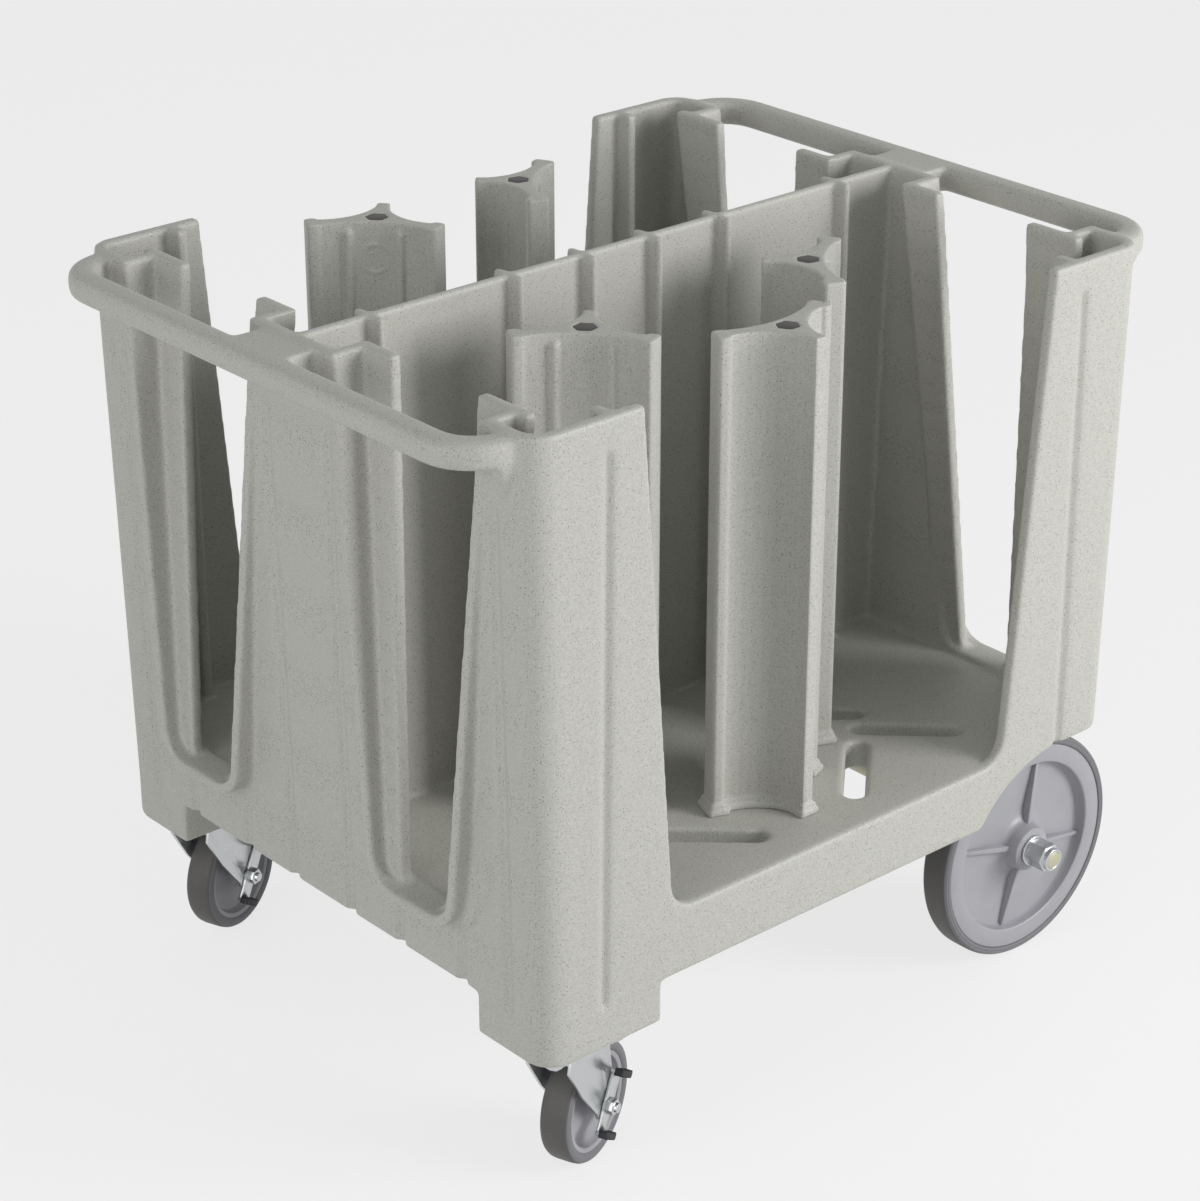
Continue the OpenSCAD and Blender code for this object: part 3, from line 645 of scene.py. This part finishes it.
class CART_OT_wheels(bpy.types.Operator):
    """Turns the two large wheels: tyre, ribbed disc and bushing"""
    bl_idname = "cart.wheels"
    bl_label = "Large wheels"

    def execute(self, context):
        for side in SIDES:
            tyre, body = "wheel_tyre_" + side, "wheel_" + side
            half, radius = half_size(tyre, 1), half_size(tyre, 2)
            seat = radius - TYRE_DEPTH
            centre = Matrix.Translation(middle(tyre))
            form = placed(self.tyre_form(seat, radius, half), centre)
            finish = material_of(grey_rubber)
            thing = new_piece("tyre_" + side, form, body, finish, [tyre])
            paint_tread_shade(thing, Vector((0, 1, 0)))
            form = placed(self.disc_form(side, seat, half - DISC_INSET), centre)
            disc = ["wheel_disc_" + side]
            new_piece("disc_" + side, form, body, material_of(grey_nylon), disc)
            steel_piece("bushing_" + side, "wheel_bush_" + side, body, EDGE["bush"])
        return {"FINISHED"}

    def tyre_form(self, seat, radius, half):
        """The tyre, with a bead beside the disc and a rounded shoulder."""
        edge = [
            (seat, half - 1.6), (seat + 0.8, half - 0.5), (seat + 2.2, half), (seat + 4, half),
            (seat + 4.7, half - 0.5), (seat + 5.6, half - 0.4), (seat + 6.3, half - 0.1),
            (radius - 2.4, half - 0.9), (radius - 1.1, half - 2.4), (radius - 0.3, half - 4.6),
            (radius, half - 8),
        ]
        return lathe(edge + [(radius, 0)] + mirrored(edge), WHEEL_STEPS)

    def disc_form(self, side, seat, face):
        """The bowl-shaped disc, with its hub and spokes. The hub is longer on the outside."""
        low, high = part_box("wheel_disc_" + side)
        across = abs(middle("wheel_tyre_" + side).y) / MM
        tip = max(abs(low[1]), abs(high[1])) / MM - across
        root = min(abs(low[1]), abs(high[1])) / MM - across
        bore = half_size("wheel_bush_" + side, 2)
        bowl = [
            (26.4, face - 3), (27.4, face - 6), (30, 7.4), (35, 5.2), (42, 3.6), (91, 3.6),
            (94.4, 4.2), (95.8, 5.8), (96.5, 9), (97, face - 1.2), (97.8, face - 0.3),
            (99, face), (seat - 1, face), (seat - 0.3, face - 0.3), (seat, face - 1),
        ]
        section = [(bore, tip), (22.4, tip), (24.2, tip - 0.8), (25, tip - 2.4)]
        section += bowl + mirrored(bowl)
        section += [(25, root + 2.4), (24.2, root + 0.8), (22.4, root), (bore, root)]
        out = -1 if side == "near" else 1
        disc = lathe([(radius, along * out) for radius, along in section], WHEEL_STEPS)
        return merged([disc] + [self.spoke(number, face) for number in range(SPOKES)])

    def spoke(self, number, face):
        """A rib on both sides of the disc, lower towards the rim."""
        rib = prism(SPOKE_OUTLINE, SPOKE_INSET - face, face - SPOKE_INSET)
        for vert in rib.verts:
            if vert.co.x > SPOKE_LOW_FROM * MM:
                vert.co.y *= SPOKE_LOW_SHARE
        rib = bevelled(rib, EDGE["spoke"])
        turn = Matrix.Rotation(math.radians(SPOKE_TURN + 360 / SPOKES * number), 3, "Y")
        bmesh.ops.rotate(rib, verts=rib.verts, cent=(0, 0, 0), matrix=turn)
        return rib


class CART_OT_axle(bpy.types.Operator):
    """Makes the axle with its washers and lock nuts"""
    bl_idname = "cart.axle"
    bl_label = "Axle"

    def execute(self, context):
        for name, finish in (("axle", dull_steel), ("axle_washers", zinc_steel),
                             ("axle_nuts", zinc_steel)):
            steel_piece("steel_" + name, name, "cart", EDGE["axle"], finish)
        return {"FINISHED"}


class CART_OT_casters(bpy.types.Operator):
    """Makes the two swivel casters: plate, fork, kingpin, axle bolt, tyre, hub and brake"""
    bl_idname = "cart.casters"
    bl_label = "Swivel casters"

    def execute(self, context):
        steel_piece("steel_plate_bolts", "plate_bolts", "cart", EDGE["plate_bolt"])
        for side in SIDES:
            plate = "caster_plate_" + side
            steel_piece("steel_plate_" + side, plate, "cart", EDGE["caster_plate"])
            for kind in ("caster_fork_", "kingpin_", "caster_bolt_"):
                steel_piece("steel_" + kind + side, kind + side, "swivel_" + side, EDGE["fork"])
            axis = Vector(JOINTS[f"caster_{side}_roll"]["axis"])
            heading = Matrix.Rotation(math.atan2(-axis.x, axis.y), 4, "Z")
            centre = Matrix.Translation(middle("caster_tyre_" + side)) @ heading
            self.add_wheel(side, centre, axis)
            self.add_brake(side, centre @ Matrix.Rotation(math.radians(BRAKE_TURN), 4, "Y"))
        return {"FINISHED"}

    def add_wheel(self, side, centre, axis):
        """The tyre and its hub."""
        tyre, body = "caster_tyre_" + side, "caster_" + side
        half, radius = CASTER_HALF, half_size(tyre, 2)
        seat = radius - CASTER_TYRE_DEPTH
        edge = [
            (seat, half - 2), (seat + 1.5, half - 0.6), (seat + 4, half),
            (radius - 4.5, half - 0.2), (radius - 2, half - 1.5), (radius - 0.6, half - 4),
            (radius, half - 8.5),
        ]
        form = placed(lathe(edge + [(radius, 0)] + mirrored(edge), CASTER_STEPS), centre)
        finish = material_of(grey_rubber)
        thing = new_piece("caster_tread_" + side, form, body, finish, [tyre])
        paint_tread_shade(thing, axis)
        hub = [
            (5.05, 20.7), (9, 20.7), (10, 19.5), (14, 12), (18, 9.5), (36, 6), (44, 6.5),
            (46, 9), (47, 13), (48.5, 14), (seat, 14),
        ]
        form = placed(lathe(hub + mirrored(hub), CASTER_STEPS), centre)
        node = ["caster_hub_" + side]
        new_piece("caster_disc_" + side, form, body, material_of(grey_nylon), node)

    def add_brake(self, side, seat):
        """The rocking lever, with a tab at each end and a ribbed pad over each tab."""
        brake = "brake_" + side
        face = LEVER_FACE
        plate = bevelled(prism(LEVER_OUTLINE, face - LEVER_THICK, face), EDGE["lever"])
        cap = lathe([(6, face - 3.6), (6, face - 1), (11, face - 1), (11, face - 3)], CAP_STEPS)
        tabs = [
            bevelled(block((place, 0), TAB_HALF, face - TAB_REACH, face), EDGE["tab"])
            for place in TAB_PLACES
        ]
        form = placed(merged([plate, cap] + tabs), seat)
        new_piece("brake_lever_" + side, form, brake, material_of(zinc_steel), [brake])
        form = placed(merged(self.pad_parts(face)), seat)
        new_piece("brake_pads_" + side, form, brake, material_of(black_rubber))

    def pad_parts(self, face):
        """The two pads, each a rounded core with ribs across it."""
        parts = []
        for place in TAB_PLACES:
            core = block((place, 0), PAD_HALF, face - PAD_SPAN[0], face - PAD_SPAN[1])
            parts.append(bevelled(core, EDGE["pad"], PAD_EDGE_STEPS))
            for rib in range(PAD_RIBS):
                up = (rib - PAD_RIBS // 2) * PAD_RIB_PITCH
                low, high = face - PAD_RIB_SPAN[0], face - PAD_RIB_SPAN[1]
                bar = block((place, up), PAD_RIB_HALF, low, high)
                parts.append(bevelled(bar, EDGE["pad_rib"]))
        return parts


class CART_OT_stage(bpy.types.Operator):
    """Sets the pale floor, the soft lights and the camera"""
    bl_idname = "cart.stage"
    bl_label = "Stage"

    def execute(self, context):
        scene = context.scene
        self.add_floor(scene)
        self.add_world(scene)
        for name, place, size, power in LAMPS:
            lamp = bpy.data.lights.new(name, "AREA")
            lamp.energy = power
            lamp.size = size
            thing = bpy.data.objects.new(name, lamp)
            scene.collection.objects.link(thing)
            aim(thing, place, LAMP_TARGET)
        camera = bpy.data.cameras.new("view")
        camera.sensor_width = CAMERA_SENSOR
        camera.lens = CAMERA_LENS
        thing = bpy.data.objects.new("view", camera)
        scene.collection.objects.link(thing)
        aim(thing, CAMERA_PLACE, CAMERA_TARGET)
        scene.camera = thing
        scene.view_settings.view_transform = "Standard"
        return {"FINISHED"}

    def add_floor(self, scene):
        """A matt floor that keeps shadows. Part of it glows where the background shows."""
        floor = bmesh.new()
        bmesh.ops.create_grid(floor, x_segments=1, y_segments=1, size=FLOOR_HALF)
        mesh = bpy.data.meshes.new("floor")
        floor.to_mesh(mesh)
        floor.free()
        plane = bpy.data.objects.new("floor", mesh)
        scene.collection.objects.link(plane)
        material, tree, shader, _ = new_material("pale_floor")
        shader.inputs["Base Color"].default_value = linear(FLOOR_COLOUR)
        shader.inputs["Roughness"].default_value = 0.9
        white = add_node(tree, "Emission", Strength=1.0)
        share = add_node(tree, "Math", {0: background_rays(tree)}, operation="MULTIPLY")
        share.inputs[1].default_value = FLOOR_GLOW
        ends = {0: share.outputs[0], 1: shader.outputs["BSDF"], 2: white.outputs["Emission"]}
        seen = add_node(tree, "MixShader", ends)
        output = next(node for node in tree.nodes if node.type == "OUTPUT_MATERIAL")
        tree.links.new(seen.outputs["Shader"], output.inputs["Surface"])
        set_material(plane, material)

    def add_world(self, scene):
        """A white world that shows in full and lights the cart in part."""
        world = bpy.data.worlds.new("studio")
        scene.world = world
        world.use_nodes = True
        tree = world.node_tree
        tree.nodes.clear()
        strength = stretched(tree, background_rays(tree), WORLD_LIGHT, 1.0)
        light = add_node(tree, "Background", {"Strength": strength})
        add_node(tree, "OutputWorld", {"Surface": light.outputs[0]})


class CART_PT_panel(bpy.types.Panel):
    """Shows the cart's settings and a button for each group of pieces"""
    bl_label = "Plate dispenser cart"
    bl_idname = "CART_PT_panel"
    bl_space_type = "VIEW_3D"
    bl_region_type = "UI"
    bl_category = "Cart"

    def draw(self, context):
        layout = self.layout
        scene = context.scene
        for group in (scene.cart_body, scene.cart_wheels, scene.cart_metal):
            box = layout.box()
            for name in group.__annotations__:
                box.prop(group, name)
        for operator in OPERATORS:
            layout.operator(operator.bl_idname)


GROUPS = {
    "cart_body": CartBodySettings,
    "cart_wheels": CartWheelSettings,
    "cart_metal": CartMetalSettings,
}
OPERATORS = (
    CART_OT_body, CART_OT_towers, CART_OT_clamps, CART_OT_wheels, CART_OT_axle, CART_OT_casters,
    CART_OT_stage,
)


def register():
    for group in GROUPS.values():
        bpy.utils.register_class(group)
    for operator in OPERATORS:
        bpy.utils.register_class(operator)
    bpy.utils.register_class(CART_PT_panel)
    for name, group in GROUPS.items():
        setattr(bpy.types.Scene, name, bpy.props.PointerProperty(type=group))


def unregister():
    for name in GROUPS:
        delattr(bpy.types.Scene, name)
    bpy.utils.unregister_class(CART_PT_panel)
    for operator in reversed(OPERATORS):
        bpy.utils.unregister_class(operator)
    for group in reversed(GROUPS.values()):
        bpy.utils.unregister_class(group)


def main():
    register()
    bpy.ops.cart.body()
    bpy.ops.cart.towers()
    bpy.ops.cart.clamps()
    bpy.ops.cart.wheels()
    bpy.ops.cart.axle()
    bpy.ops.cart.casters()
    bpy.ops.cart.stage()
    bpy.context.view_layer.update()


if __name__ == "__main__":
    main()
